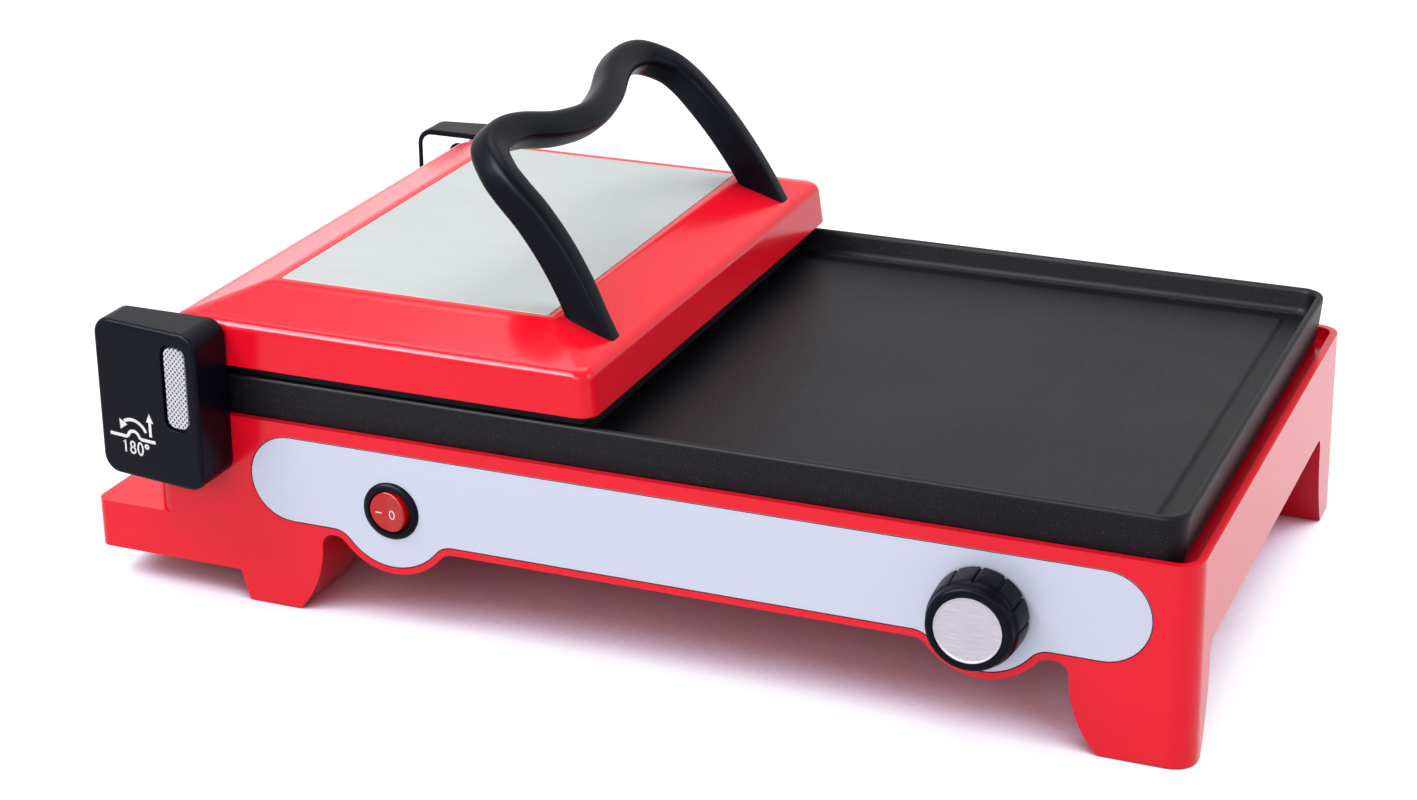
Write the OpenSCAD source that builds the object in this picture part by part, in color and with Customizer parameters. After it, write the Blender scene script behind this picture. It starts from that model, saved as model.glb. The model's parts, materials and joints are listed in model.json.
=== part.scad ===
// Electric indoor grill: full-length griddle plate, half covered by a lid that lifts and folds back 180 degrees.
// Millimetres, +Z up, -Y is the control side, origin under the middle of the whole object.

/* [Base] */
// Length of the red base, with the low shelf at its left end
base_l = 439.4; // [400:1:470]
// Depth of the red base
base_d = 250; // [230:1:270]
// Height of the tray rim above the table
rim_h = 77; // [72:1:84]
// Wall of the base moulding
base_wall = 3; // [2:0.5:4]
// Radius of the upright corners of the base
base_r = 9; // [6:1:14]
// How far the end walls lean in at the rim
base_draft = 1.5; // [1:0.5:4]
// Length of the low shelf at the left end
shelf_l = 26.4; // [16:1:30]
// Top of the low shelf
shelf_top = 32; // [28:1:36]
// Underside of the low shelf
shelf_under = 12.5; // [9:0.5:16]
// Lower edge of the front and rear aprons
apron_z = 34; // [30:1:38]
// Lower edge of the right-hand apron
side_arch_z = 41; // [38:1:46]
// Height of the ledge that carries the griddle plate
ledge_z = 72; // [68:1:74]

/* [Feet] */
// Width of a right-hand foot, seen from the front, where it meets the apron
foot_r_w = 45; // [36:1:54]
// Width of a left-hand foot, seen from the front, where it meets the apron
foot_l_w = 37; // [30:1:44]
// Distance from the left end of the base to the left-hand feet
foot_l_in = 64.4; // [54:1:70]
// Depth of a foot from front to back
foot_deep = 31; // [24:1:38]
// Depth of the right-hand front foot at the side apron
front_foot_side = 21; // [18:1:26]
// Radius of the scooped inner edge of a foot
foot_scoop_r = 42; // [40:1:60]
// Radius of the scoops in the side apron
side_scoop_r = 72; // [66:1:100]
// Thickness of the rubber pads under the feet
pad_t = 2; // [1:0.5:3]
// How far the pads stand below the feet
pad_proud = 0.6; // [0.4:0.1:1]
// Diameter of the rubber pads
pad_d = 8; // [6:0.5:9]

/* [Control panel] */
// Distance from the left end of the housing to the panel
panel_start = 45.5; // [42:0.5:60]
// Height of the silver panel between its straight edges
panel_h = 34.8; // [30:0.2:36]
// Lower straight edge of the panel
panel_z = 36.8; // [36:0.2:38]
// Distance from the right end of the base to the panel
panel_end_gap = 16.5; // [14:0.5:20]
// Thickness of the panel
panel_t = 1.5; // [1:0.5:2]
// Radius of the two lobes round the switch and the knob
lobe_r = 23.4; // [21:0.2:25]
// Red border below the panel lobes
lobe_border = 2.6; // [2:0.2:4]
// Fillet where a lobe runs into the straight edge
lobe_fillet = 9; // [6:1:12]
// Height of the switch and the knob above the table
control_z = 48.3; // [47:0.1:50]
// Distance from the left end of the housing to the switch
switch_in = 105.4; // [92:0.2:116]
// Distance from the right end of the housing to the knob
knob_in = 76.9; // [70:0.1:86]

/* [Switch and knob] */
// Outer diameter of the switch bezel
bezel_d = 23; // [21:0.5:25]
// Diameter of the switch body behind the panel
switch_body_d = 19.6; // [18:0.2:20]
// Depth of the switch body
switch_depth = 20; // [16:1:24]
// Diameter of the rocker
rocker_d = 16; // [14:0.5:16]
// Throw of the rocker each way from level
rocker_tilt = 10; // [6:1:11]
// Largest diameter of the knob
knob_d = 35; // [30:1:38]
// Diameter of the knob's front ring
knob_front_d = 30.5; // [28:0.5:32]
// How far the knob stands off the panel
knob_h = 16.5; // [14:0.5:20]
// Diameter of the brushed cap on the knob
cap_d = 25; // [20:0.5:27]
// Number of grip flutes round the knob
knob_flutes = 12; // [10:1:24]
// Diameter of the thermostat shaft
shaft_d = 6; // [5:0.5:7]
// Full turn of the thermostat knob in degrees
knob_turn = 270; // [180:10:300]

/* [Griddle plate] */
// Distance from the left end of the housing to the griddle
griddle_start = 19.4; // [17:0.2:22]
// Gap between the griddle rim and the long sides of the base
griddle_side_gap = 2; // [1.5:0.1:6]
// Height of the griddle rim above the table
griddle_top = 93; // [90:0.5:96]
// Height of the cooking surface above the table
griddle_floor = 84; // [82:0.5:86]
// Thickness of the griddle floor
griddle_t = 5; // [4:0.5:6]
// Wall of the griddle rim
griddle_wall = 3.2; // [2.5:0.1:4]
// Flare of the griddle wall from foot to rim
griddle_flare = 1.8; // [1:0.2:2.4]
// Distance from the right end of the base to the griddle rim
griddle_end_gap = 7.6; // [6.5:0.1:14]
// Width of the shallow drip channel round the cooking surface
channel_w = 10; // [8:1:14]
// Depth of the drip channel
channel_t = 1.2; // [0.8:0.2:1.6]
// Radius of the griddle's upright corners
griddle_r = 9; // [8:1:14]

/* [Lid] */
// Length of the lid at its lower edge
lid_l = 183; // [176:1:190]
// Lower edge of the lid above the table
lid_z = 96.8; // [96:0.1:99]
// Height of the lid's side walls
lid_side_h = 16.7; // [14:0.1:18]
// Rise of the bevelled top above the side walls
lid_bevel_h = 9.2; // [7:0.2:10]
// Width of the bevel round the inlaid plate
lid_bevel_w = 28; // [24:1:30]
// Lean of the lid's side walls
lid_draft = 2.1; // [1.5:0.1:4]
// How much further the lid's left end leans
lid_left_lean = 5.5; // [3:0.5:7]
// Wall of the lid moulding
lid_wall = 3; // [2:0.5:3.5]
// Radius of the lid's upright corners
lid_r = 7; // [6:1:14]
// Distance from the left end of the housing to the lid
lid_start = 5.7; // [5.2:0.1:7]
// Gap between the lid and the hinge blocks
lid_gap = 0.8; // [0.5:0.1:1.2]
// Length of the steel plate inlaid in the lid
inlay_l = 113; // [106:1:118]
// Depth of the steel plate inlaid in the lid
inlay_d = 186; // [176:1:192]
// Thickness of the inlaid plate
inlay_t = 1; // [0.8:0.1:1.4]

/* [Press plate] */
// Thickness of the black flange under the lid
flange_t = 3.2; // [2.6:0.2:3.4]
// Set-back of the flange from the lid's edge
flange_inset = 3; // [2:0.5:5]
// Gap between the press plate and the cooking surface when the lid is down
press_gap = 0.8; // [0.6:0.1:1.5]
// Distance between the ribs of the press plate
rib_pitch = 12; // [9:1:16]
// Height of the ribs of the press plate
rib_h = 2.4; // [1.6:0.2:3]

/* [Hinge] */
// Width of a hinge block
block_w = 48.4; // [46:0.2:50]
// Height of a hinge block
block_h = 63; // [58:0.5:64]
// Lower edge of a hinge block above the table
block_z = 53; // [52:0.5:57]
// How far a hinge block stands out at its inner end
block_out = 22; // [18:0.5:26]
// How much less it stands out at its outer end
block_slant = 7; // [4:0.5:9]
// Radius of a hinge block's corners
block_r = 7; // [4:0.5:9]
// Distance from the left end of the base to a hinge block
block_end_gap = 16.1; // [15:0.1:17]
// Height of the lid's turning axis when the lid is down
axis_z = 99; // [98.5:0.1:99.5]
// Distance from the outer end of a hinge block to the turning axis
axis_in = 20.7; // [20.2:0.1:22]
// How far the lid lifts in its guide slots
lid_lift = 7.5; // [5:0.5:7.5]
// Diameter of the hinge pins
pin_d = 4.4; // [4:0.1:4.4]
// Diameter of the sliding bushes round the pins
bush_d = 8.8; // [8:0.1:9.2]
// Thickness of the steel guide plates
guide_t = 1.5; // [1:0.25:2]
// Width of the ribbed lens in the front hinge block
lens_w = 9.8; // [9:0.2:13]
// Height of the ribbed lens
lens_h = 32; // [28:0.5:36]
// Distance from the inner end of the block to the middle of the lens
lens_in = 10.6; // [9:0.2:13]

/* [Handle] */
// Distance between the handle's feet, middle to middle
handle_span = 175.4; // [170:1:188]
// Highest point of the handle above the table
handle_top = 184; // [170:1:188]
// How far the grip leans back from the feet
handle_lean = 48.9; // [44:0.1:54]
// Depth of the dip in the middle of the grip
handle_dip = 12; // [6:1:16]
// Thickness of the grip
grip_t = 13; // [11:0.5:15]
// Distance from the lid's right edge to the middle of the handle's feet
handle_in = 17.4; // [16:0.1:20]
// Width of a handle leg at the lid
leg_w = 16; // [12:0.5:17]
// Thickness of a handle leg at the lid
leg_t = 8; // [6:0.5:10]

/* [Heating] */
// Diameter of the lower heating element
element_d = 7; // [6:0.5:8]
// Diameter of the upper heating element
upper_element_d = 6.5; // [6:0.5:7]
// Thickness of the sheet metal parts
sheet_t = 0.8; // [0.6:0.1:1]

/* [Hidden] */
$fn = 64;
eps = 0.01;
run_gap = 0.05;
fit_gap = 0.2;
slip_gap = 0.3;
block_screw_d = 3;
block_screw_x = [2, 15];
block_screw_z = 10;
panel_gap = 0.15;
arch_fillet = 5;
arc_n = 6;
shelf_r = 5;
corner_step = 0.04;
shelf_lean = 1.6;
cover_screw_l = 10;
foot_round = 2.5;
foot_slant = 4;
ledge_t = 3;
ledge_bear = 8;
screw_d = 3;
screw_head_d = 5.6;
screw_head_t = 1.8;
thread_gap = 0.1;
pad_in_r = 16;
pad_in_y = 5.8;
pad_in_l = 10.6;

left_x = -base_l / 2;
right_x = base_l / 2;
front_y = -base_d / 2;
rear_y = base_d / 2;
body_left_x = left_x + shelf_l;
switch_x = body_left_x + switch_in;
knob_x = right_x - knob_in;

foot_r_x = right_x - foot_r_w;
foot_l_out_x = left_x + foot_l_in;
foot_l_x = foot_l_out_x + foot_l_w;
rear_foot_deep = foot_deep + 2;

panel_right_x = right_x - panel_end_gap;
panel_left_x = body_left_x + panel_start;
panel_top_z = panel_z + panel_h;
wall_in_y = front_y + base_wall;

cover_z = apron_z + 1;
cover_t = 2;
gland_x = body_left_x + 62;
gland_z = 54;
gland_d = 12;
gland_bore = 7;
gland_flange_d = 18;
gland_flange_t = 3;

griddle_right_x = right_x - griddle_end_gap;
griddle_left_x = body_left_x + griddle_start;
griddle_l = griddle_right_x - griddle_left_x;
griddle_mid_x = (griddle_left_x + griddle_right_x) / 2;
griddle_d = base_d - 2 * griddle_side_gap;
griddle_under = griddle_floor - griddle_t;
ledge_hole = [griddle_l - 2 * (griddle_flare + ledge_bear), griddle_d - 2 * (griddle_flare + ledge_bear)];

lid_left_x = body_left_x + lid_start;
lid_right_x = lid_left_x + lid_l;
lid_d = base_d - 2 * lid_gap;
lid_mid_x = (lid_left_x + lid_right_x) / 2;
lid_draft_y = 1.2;
lid_shoulder_z = lid_z + lid_side_h;
lid_top_z = lid_shoulder_z + lid_bevel_h;
inlay_x = lid_mid_x + 4;
inlay_margin = 2;
bevel_end_x = inlay_x + inlay_l / 2 + inlay_margin;
shoulder_x = lid_right_x - 1.4 * lid_draft;
bevel_rise = (lid_top_z - lid_shoulder_z - 0.72) / (shoulder_x - bevel_end_x);
bevel_angle = atan(bevel_rise);

handle_foot_x = lid_right_x - handle_in;
handle_foot_z = lid_shoulder_z + 0.72 + 2 * eps + (shoulder_x - handle_foot_x) * bevel_rise;
handle_up = handle_top - grip_t / 2 - handle_foot_z;
handle_angle = atan(handle_lean / handle_up);
handle_len = norm([handle_lean, handle_up]);
handle_steps = 4;
handle_sides = 16;
tenon_d = 7.6;
tenon_l = 6;
washer_d = 11;
hood_end_in = 29.5;
hood_side_in = 25;
hood_size = [lid_l - 2 * hood_end_in, griddle_d - 2 * hood_side_in];
hood_h = 10;
hood_x = 7;

block_x = left_x + block_end_gap;
block_right_x = block_x + block_w;
block_top_z = block_z + block_h;
block_mid = [block_x + block_w / 2, block_z + block_h / 2];
block_tilt = atan(block_slant / block_w);
axis_x = block_x + axis_in;
slot_w = bush_d + 2 * slip_gap;
slot_mid_z = axis_z + lid_lift / 2;
bush_len = 10;
guide_rim = 2.4;
lens_z = block_z + 40.5;
lens_t = 3;
lens_recess = 1;
lens_border = 1.3;
lamp_d = 5;

flange_z = lid_z - flange_t;
press_z = griddle_floor + press_gap;
post_len = 14;
post_in = 12;
post_h = 9;
seat_gap = 0.1;
press_side_gap = 5;
press_end_in = 7;
press_r = 6;
press_left_x = griddle_left_x + griddle_wall + griddle_flare + press_side_gap;
press_l = lid_right_x - press_end_in - press_left_x;
press_mid_x = press_left_x + press_l / 2;
press_d = griddle_d - 2 * (griddle_wall + griddle_flare + press_side_gap);

element_z = griddle_under - fit_gap - element_d / 2;
element_pitch = 46;
element_runs = 4;
element_end_in = 43;
element_l = griddle_l - 2 * element_end_in;
clip_w = 12;
upper_runs = 3;
upper_pitch = 38;
upper_element_gap = 1;
reflector_z = 62;

bezel_t = 1.6;
bush_nut_d = 10;
thermo_size = [26, 22, 21];
knob_gap = 1;
knob_ring_h = 5;
flute_r = 0.8;
flute_t = 0.7;
cap_t = 1.5;
cap_rim = 0.6;
rocker_gap = 0.6;
rocker_out = 2.8;
rocker_deep = 3;
rocker_axis_in = 1.2;
rocker_pin_d = 2;
rocker_pin_l = 9;
terminal_x = 4;
terminal_t = 0.8;
terminal_w = 6;
terminal_l = 9;
pan_h = 9;
pan_t = 1.5;
pan_gap = 24;
vent_n = 6;
vent_pitch = 18;
vent_row_y = 40;
vent_w = 5;
vent_l = 36;

// Rectangle with round corners, centred, from squares and circles so that its arcs stay true
module round_rect(size, r) {
    square([size[0] - 2 * r, size[1]], center = true);
    square([size[0], size[1] - 2 * r], center = true);
    for (sx = [-1, 1], sy = [-1, 1])
        translate([sx * (size[0] / 2 - r), sy * (size[1] / 2 - r)])
            circle(r);
}

// Upright slot shape, centred
module obround(w, h) {
    square([w, h - w], center = true);
    for (s = [-1, 1])
        translate([0, s * (h - w) / 2])
            circle(w / 2);
}

// Flat slab with round corners, centred in x and y
module slab(size, r, z, t) {
    translate([0, 0, z])
        linear_extrude(t)
            round_rect(size, r);
}

// Shape drawn in x and z, pushed from y0 to y1
module front_extrude(y0, y1) {
    translate([0, y1, 0])
        rotate([90, 0, 0])
            linear_extrude(y1 - y0)
                children();
}

// Shape drawn in y and z, pushed from x0 to x1
module side_extrude(x0, x1) {
    translate([x0, 0, 0])
        rotate([90, 0, 90])
            linear_extrude(x1 - x0)
                children();
}

// Cylinder along y
module y_cylinder(d, y0, y1) {
    translate([0, y1, 0])
        rotate([90, 0, 0])
            cylinder(d = d, h = y1 - y0);
}

// Cylinder along y whose ends differ
module y_cone(d0, d1, y0, y1) {
    translate([0, y0, 0])
        rotate([-90, 0, 0])
            cylinder(d1 = d0, d2 = d1, h = y1 - y0);
}

// Mirrored copy for the rear side
module both_sides() {
    children();
    mirror([0, 1, 0])
        children();
}

function arc(c, r, a0, a1, n, skip = 0) = [for (i = [skip:n - skip])
    let (a = a0 + (a1 - a0) * i / n) [c[0] + r * cos(a), c[1] + r * sin(a)]];

// Lower edge of a lobe round a control: it leaves the line at z0 and comes back to it in two hollow fillets
function lobe_edge(x, z0, r, fillet) =
    let (h = control_z - z0 + fillet, reach = sqrt(pow(r + fillet, 2) - h * h), turn = atan2(h, reach))
    concat(arc([x - reach, z0 - fillet], fillet, 90, turn, arc_n),
        arc([x, control_z], r, 180 + turn, 360 - turn, 4 * arc_n, 1),
        arc([x + reach, z0 - fillet], fillet, 180 - turn, 90, arc_n));

// Straight band with round ends and a lobe under each control
module lobed_band(x0, x1, z0, z1, lobe, fillet) {
    r = (z1 - z0) / 2;
    polygon(concat(lobe_edge(switch_x, z0, lobe, fillet), lobe_edge(knob_x, z0, lobe, fillet),
        arc([x1 - r, z0 + r], r, -90, 90, 3 * arc_n), arc([x0 + r, z0 + r], r, 90, 270, 3 * arc_n)));
}

// Opening between two feet, seen square on: filleted at the top, with scooped edges below
module foot_arch(a0, a1, top, r) {
    start = top - arch_fillet;
    reach = r - sqrt(r * r - start * start);
    difference() {
        translate([a0 - reach, -1])
            square([a1 - a0 + 2 * reach, top + 1]);
        for (s = [-1, 1]) {
            edge = s < 0 ? a0 : a1;
            translate([edge + s * r, start])
                circle(r);
            translate([s < 0 ? a0 - reach - 1 : a1, start])
                square([reach + 1, arch_fillet + 1]);
            difference() {
                translate([s < 0 ? edge : edge - arch_fillet, start])
                    square([arch_fillet, arch_fillet + 1]);
                translate([edge - s * arch_fillet, start])
                    circle(arch_fillet);
            }
        }
    }
}

// Main body seen from the front, with its ends leaning in, drawn in by inset
module body_side(inset) {
    polygon([[body_left_x + inset, 0], [right_x - inset, 0], [right_x - base_draft - inset, rim_h],
        [body_left_x + base_draft + inset, rim_h]]);
}

// Main body as one solid: two prisms, and a leaning cylinder in each upright corner
module base_outline() {
    tilt = atan(base_draft / rim_h);
    inset = base_r / cos(tilt);
    intersection() {
        translate([left_x, front_y, pad_proud])
            cube([base_l, base_d, rim_h - pad_proud]);
        union() {
            front_extrude(front_y + base_r, rear_y - base_r)
                body_side(0);
            front_extrude(front_y, rear_y)
                body_side(inset);
            for (end = [-1, 1], s = [-1, 1])
                translate([end < 0 ? body_left_x + inset : right_x - inset, s * (rear_y - base_r), 0])
                    rotate([0, -end * tilt, 0])
                        translate([0, 0, -base_r])
                            cylinder(r = base_r - corner_step, h = rim_h + 2 * base_r);
        }
    }
}

module low_shelf() {
    w = shelf_l + 2 * base_r;
    translate([left_x + w / 2, 0, 0])
        intersection() {
            slab([w, base_d], shelf_r, shelf_under, shelf_top - shelf_under);
            front_extrude(front_y, rear_y)
                polygon([[shelf_lean - w / 2, shelf_under], [w / 2, shelf_under], [w / 2, shelf_top],
                    [-w / 2, shelf_top]]);
        }
}

// Space inside the base: the tray pocket, the hole inside the ledge and the hollow below it
module base_cavity() {
    w = right_x - body_left_x - 2 * (base_wall + base_draft);
    d = base_d - 2 * base_wall;
    r = base_r - base_wall;
    translate([(right_x + body_left_x) / 2, 0, 0]) {
        slab([w, d], r, ledge_z, rim_h);
        slab([w, d], r, cover_z, ledge_z - ledge_t - cover_z);
    }
    translate([griddle_mid_x, 0, 0])
        slab(ledge_hole, r, cover_z, rim_h);
    difference() {
        translate([(right_x + body_left_x) / 2, 0, 0])
            slab([w, d], r, -1, cover_z + 1 + eps);
        foot_blocks();
    }
    translate([left_x + base_wall + 1, base_r - rear_y, shelf_under - 1])
        cube([shelf_l - base_wall - 1, base_d - 2 * base_r, shelf_top - base_wall - shelf_under + 1]);
}

module foot_blocks() {
    for (s = [-1, 1]) {
        deep = s < 0 ? foot_deep : rear_foot_deep;
        y = s < 0 ? front_y : base_d / 2 - deep;
        translate([foot_r_x - 1, y, -2])
            cube([foot_r_w + 1, deep, cover_z + 2]);
        translate([foot_l_out_x, y, -2])
            cube([foot_l_w + 1, deep, cover_z + 2]);
    }
}

// Front and rear arches, with the lobes left standing at the front, and the raised left end
module front_cuts() {
    front_extrude(front_y - 1, 0)
        difference() {
            foot_arch(foot_l_x, foot_r_x, apron_z, foot_scoop_r);
            for (x = [switch_x, knob_x])
                polygon(concat([[x, apron_z + 1]], lobe_edge(x, apron_z, lobe_r + lobe_border,
                    lobe_fillet - lobe_border)));
        }
    front_extrude(-1, base_d / 2 + 1)
        foot_arch(foot_l_x, foot_r_x, apron_z, foot_scoop_r);
    front_extrude(front_y - 1, base_d / 2 + 1)
        polygon([[left_x - 1, -1], [foot_l_out_x + foot_slant, -1], [foot_l_out_x, shelf_under],
            [left_x - 1, shelf_under]]);
}

// Arch in the right-hand apron, and the way between the left-hand feet
module side_cuts() {
    side_extrude(foot_r_x - 2, right_x + 1)
        foot_arch(front_y + front_foot_side, base_d / 2 - rear_foot_deep, side_arch_z, side_scoop_r);
}

module panel_shape(grow) {
    lobed_band(panel_left_x - grow, panel_right_x + grow, panel_z - grow, panel_top_z + grow,
        lobe_r + grow, lobe_fillet - grow);
}

module panel_recess() {
    front_extrude(front_y - 1, front_y + panel_t)
        panel_shape(panel_gap);
}

module control_holes() {
    translate([switch_x, 0, control_z])
        y_cylinder(switch_body_d + 2 * fit_gap, front_y - 1, front_y + base_wall + 1);
    translate([knob_x, 0, control_z])
        y_cylinder(bush_nut_d + 2 * fit_gap, front_y - 1, front_y + base_wall + 1);
}

module gland_hole() {
    translate([gland_x, 0, gland_z])
        y_cylinder(gland_d + 2 * fit_gap, base_d / 2 - base_wall - 1, base_d / 2 + 1);
}

// Middle of each foot's flat underside
function pad_spots() = [for (s = [-1, 1]) each [
    [right_x - pad_in_r, s * (base_d / 2 - pad_in_y)],
    [foot_l_out_x + foot_slant + pad_in_l, s * (base_d / 2 - pad_in_y)]]];

module pad_seats() {
    for (p = pad_spots())
        translate([p[0], p[1], -1])
            cylinder(d = pad_d + 2 * fit_gap, h = pad_t + 1);
}

// Red moulding: rim, aprons, four feet and the low shelf at the left end
module base_shell() {
    color([0.9, 0.08, 0.13])
        difference() {
            union() {
                base_outline();
                low_shelf();
            }
            base_cavity();
            front_cuts();
            side_cuts();
            panel_recess();
            control_holes();
            gland_hole();
            pad_seats();
            cover_screw_holes(screw_d);
            both_sides()
                block_screw_holes(block_screw_d);
        }
}

// Screws that hold the floor plate down on the foot blocks
function cover_screw_spots() = [for (s = [-1, 1]) each [
    [right_x - base_wall - pad_in_r, s * (rear_y - foot_deep / 2 - base_wall)],
    [foot_l_out_x + foot_l_w / 2, s * (rear_y - foot_deep / 2 - base_wall)]]];

module cover_screw_holes(d) {
    for (p = cover_screw_spots())
        translate([p[0], p[1], cover_z - cover_screw_l - 1])
            cylinder(d = d + 2 * thread_gap, h = cover_screw_l + cover_t + 2);
}

// Pan that closes the base below the heating parts, with an upstand cut away behind the controls
module bottom_cover() {
    w = right_x - body_left_x - 2 * (base_wall + base_draft + fit_gap);
    d = base_d - 2 * (base_wall + fit_gap);
    r = base_r - base_wall;
    color([0.12, 0.12, 0.13])
        difference() {
            translate([(right_x + body_left_x) / 2, 0, 0])
                slab([w, d], r, cover_z, pan_h);
            translate([(right_x + body_left_x) / 2, 0, 0])
                slab([w - 2 * pan_t, d - 2 * pan_t], r - pan_t, cover_z + cover_t, pan_h);
            translate([switch_x - pan_gap, front_y, cover_z + cover_t])
                cube([knob_x - switch_x + 2 * pan_gap, base_wall + 2 * pan_t, pan_h]);
            cover_screw_holes(screw_d);
            for (row = [-1, 1], i = [-vent_n:vent_n])
                translate([griddle_mid_x + i * vent_pitch, row * vent_row_y, cover_z - 1])
                    linear_extrude(cover_t + 2)
                        obround(vent_w, vent_l);
        }
}

module cover_screws() {
    color([0.75, 0.75, 0.77])
        for (p = cover_screw_spots())
            translate([p[0], p[1], 0]) {
                translate([0, 0, cover_z - cover_screw_l])
                    cylinder(d = screw_d, h = cover_screw_l + cover_t);
                translate([0, 0, cover_z + cover_t])
                    cylinder(d = screw_head_d, h = screw_head_t);
            }
}

module rubber_feet() {
    color([0.1, 0.1, 0.1])
        for (p = pad_spots())
            translate([p[0], p[1], 0])
                cylinder(d = pad_d, h = pad_t);
}

// Silver panel, flush in its recess
module control_panel() {
    color([0.80, 0.83, 0.88])
        front_extrude(front_y, front_y + panel_t)
            difference() {
                panel_shape(0);
                translate([switch_x, control_z])
                    circle(d = switch_body_d + 2 * fit_gap);
                translate([knob_x, control_z])
                    circle(d = bush_nut_d + 2 * fit_gap);
            }
}

// Round bezel and body of the rocker switch, with its two terminals
module switch_housing() {
    back_y = front_y + switch_depth;
    color([0.06, 0.06, 0.07])
        translate([switch_x, 0, control_z])
            difference() {
                union() {
                    y_cone(bezel_d - 2, bezel_d, front_y - bezel_t, front_y - bezel_t / 2);
                    y_cylinder(bezel_d, front_y - bezel_t / 2, front_y);
                    y_cylinder(switch_body_d, front_y - bezel_t / 2, back_y);
                    for (s = [-1, 1])
                        translate([s * terminal_x - terminal_t / 2, back_y - 1, -terminal_w / 2])
                            cube([terminal_t, terminal_l, terminal_w]);
                }
                y_cylinder(rocker_d + 2 * rocker_gap, front_y - bezel_t - 1, front_y + rocker_deep + 3);
                translate([0, front_y + rocker_axis_in, -rocker_pin_l - fit_gap])
                    cylinder(d = rocker_pin_d + 2 * run_gap, h = 2 * (rocker_pin_l + fit_gap));
            }
}

// Rocker with its pivot, drawn level and then tipped to the side it rests on
module switch_rocker() {
    r = rocker_d / 2;
    face = -rocker_out - rocker_axis_in;
    back = rocker_deep - rocker_axis_in;
    color([0.85, 0.1, 0.1])
        translate([switch_x, front_y + rocker_axis_in, control_z])
            rotate([0, 0, -rocker_tilt])
                union() {
                    intersection() {
                        y_cylinder(rocker_d, face - 1, back + 1);
                        translate([0, 0, -r])
                            linear_extrude(rocker_d)
                                polygon([[-r, face], [0, face + 1], [r, face], [r, 0], [r - 1.5, back],
                                    [1.5 - r, back], [-r, 0]]);
                    }
                    translate([0, 0, -rocker_pin_l])
                        cylinder(d = rocker_pin_d, h = 2 * rocker_pin_l);
                }
}

// Thermostat behind the panel, with its threaded neck
module thermostat() {
    s = thermo_size;
    color([0.82, 0.8, 0.74])
        translate([knob_x, 0, control_z])
            difference() {
                union() {
                    translate([-s[0] / 2, wall_in_y, -s[2] / 2])
                        cube(s);
                    y_cylinder(bush_nut_d, front_y - knob_gap / 2, wall_in_y + 1);
                }
                y_cylinder(shaft_d + 2 * run_gap, front_y - 2, wall_in_y + s[1] + 1);
            }
}

module thermostat_shaft() {
    color([0.7, 0.7, 0.72])
        translate([knob_x, 0, control_z])
            y_cylinder(shaft_d, front_y - knob_h + cap_t + 1, wall_in_y + thermo_size[1] + 2);
}

// Fluted knob with a bevelled front ring and a seat for its cap
module knob_body() {
    r = knob_d / 2;
    rf = knob_front_d / 2;
    color([0.07, 0.07, 0.08])
        translate([knob_x, front_y, control_z])
            rotate([90, 0, 0])
                difference() {
                    rotate_extrude($fn = 96)
                        polygon([[shaft_d / 2 + run_gap, knob_gap], [r, knob_gap], [r - 0.6, knob_h - knob_ring_h],
                            [rf + 0.7, knob_h - 1.6], [rf, knob_h - 0.4], [rf - 0.6, knob_h],
                            [cap_d / 2 + fit_gap, knob_h], [cap_d / 2 + fit_gap, knob_h - cap_t],
                            [shaft_d / 2 + run_gap, knob_h - cap_t]]);
                    for (i = [0:knob_flutes - 1])
                        rotate(i * 360 / knob_flutes)
                            translate([r + flute_r - flute_t, 0, knob_gap - 1])
                                cylinder(r = flute_r, h = knob_h - knob_ring_h - knob_gap + 2);
                }
}

module knob_cap() {
    color([0.78, 0.78, 0.77])
        translate([knob_x, 0, control_z])
            difference() {
                y_cylinder(cap_d, front_y - knob_h - 0.3, front_y - knob_h + cap_t);
                y_cylinder(cap_d - 2 * cap_rim, front_y - knob_h - 1, front_y - knob_h - 0.1);
            }
}

// Cast plate: flared rim, drip channel round a raised cooking surface, hollow foot
module griddle_plate() {
    foot = [griddle_l - 2 * griddle_flare, griddle_d - 2 * griddle_flare];
    well = [griddle_l - 2 * griddle_wall, griddle_d - 2 * griddle_wall];
    well_foot = [well[0] - 2 * griddle_flare, well[1] - 2 * griddle_flare];
    channel_z = griddle_floor - channel_t;
    r_in = griddle_r - griddle_wall;
    foot_rim = griddle_wall + foot_round;
    color([0.16, 0.16, 0.17])
        translate([griddle_mid_x, 0, 0]) {
            difference() {
                hull() {
                    slab([foot[0] - 2 * foot_round, foot[1] - 2 * foot_round], griddle_r - foot_round, ledge_z, eps);
                    slab(foot, griddle_r, ledge_z + foot_round, eps);
                    slab([griddle_l, griddle_d], griddle_r, griddle_top - eps, eps);
                }
                hull() {
                    slab(well_foot, r_in, channel_z, eps);
                    slab(well, r_in, griddle_top, 1);
                }
                slab([foot[0] - 2 * foot_rim, foot[1] - 2 * foot_rim], r_in - foot_round, ledge_z - 1,
                    griddle_under - ledge_z + 1);
            }
            slab([well_foot[0] - 2 * channel_w, well_foot[1] - 2 * channel_w], r_in, channel_z - 1, channel_t + 1);
        }
}

// One flat heating tube in straight runs along x, joined by half-round bends
module tube_grid(d, runs, pitch, length) {
    for (i = [0:runs - 1])
        translate([-length / 2, (i - (runs - 1) / 2) * pitch, 0])
            rotate([0, 90, 0])
                cylinder(d = d, h = length);
    for (i = [0:runs - 2])
        translate([(i % 2 == 0 ? 1 : -1) * length / 2, (i + 1 - runs / 2) * pitch, 0])
            rotate(i % 2 == 0 ? -90 : 90)
                rotate_extrude(angle = 180)
                    translate([pitch / 2, 0])
                        circle(d = d);
}

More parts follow.
